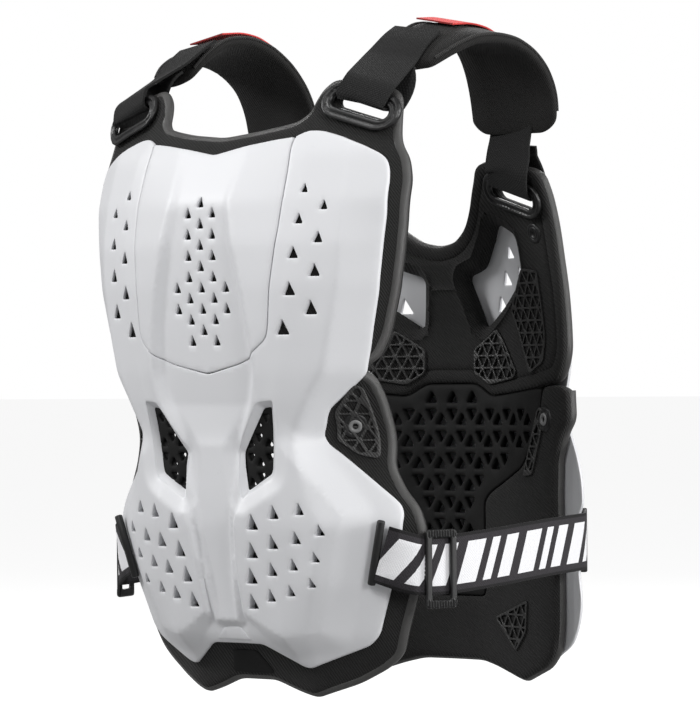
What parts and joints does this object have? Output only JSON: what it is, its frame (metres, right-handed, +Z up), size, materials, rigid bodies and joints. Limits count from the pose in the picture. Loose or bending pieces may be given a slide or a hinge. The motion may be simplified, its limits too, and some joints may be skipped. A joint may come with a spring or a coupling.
{
  "type": "roost deflector",
  "caption": "Hard-shell chest and back protector with vented plates on padded liners, joined by shoulder pads on webbing and elastic side straps.",
  "frame": {"origin": "between the undersides of the two shoulder pads, where the guard hangs on the shoulders", "axes": "+Z up, +X to the wearer's left, +Y to the wearer's back"},
  "size_m": [0.3228, 0.3318, 0.5036],
  "materials": {
    "shell": "moulded white shell with a soft sheen",
    "foam": "matte foam under ribbed cloth",
    "mesh": "matte open lattice",
    "loop": "moulded black plastic",
    "pad": "black knitted cloth over padding",
    "webbing": "black woven webbing",
    "strap": "charcoal elastic with white slanted bars",
    "patch": "red woven patch",
    "rivet": "grey snap rivet"
  },
  "bodies": {
    "root": {"chest_shell": "shell", "sternum_plate": "shell", "back_shell": "shell", "chest_liner": "foam", "belly_liner": "foam", "back_liner": "foam", "lumbar_liner": "foam", "chest_mesh_pad": "mesh", "back_mesh_pad": "mesh", "chest_strap_loop_left": "loop", "back_strap_loop_left": "loop", "shoulder_pad_left": "pad", "shoulder_patch_left": "patch", "chest_webbing_left": "webbing", "back_webbing_left": "webbing", "side_strap_left": "strap", "side_slider_left": "loop", "chest_strap_bar_left": "loop", "back_strap_bar_left": "loop", "chest_waist_rivet_left": "rivet", "back_lobe_rivet_left": "loop", "back_waist_rivet_left": "rivet", "chest_strap_loop_right": "loop", "back_strap_loop_right": "loop", "shoulder_pad_right": "pad", "shoulder_patch_right": "patch", "chest_webbing_right": "webbing", "back_webbing_right": "webbing", "side_strap_right": "strap", "side_slider_right": "loop", "chest_strap_bar_right": "loop", "back_strap_bar_right": "loop", "chest_waist_rivet_right": "rivet", "back_lobe_rivet_right": "loop", "back_waist_rivet_right": "rivet"}
  },
  "joints": []
}
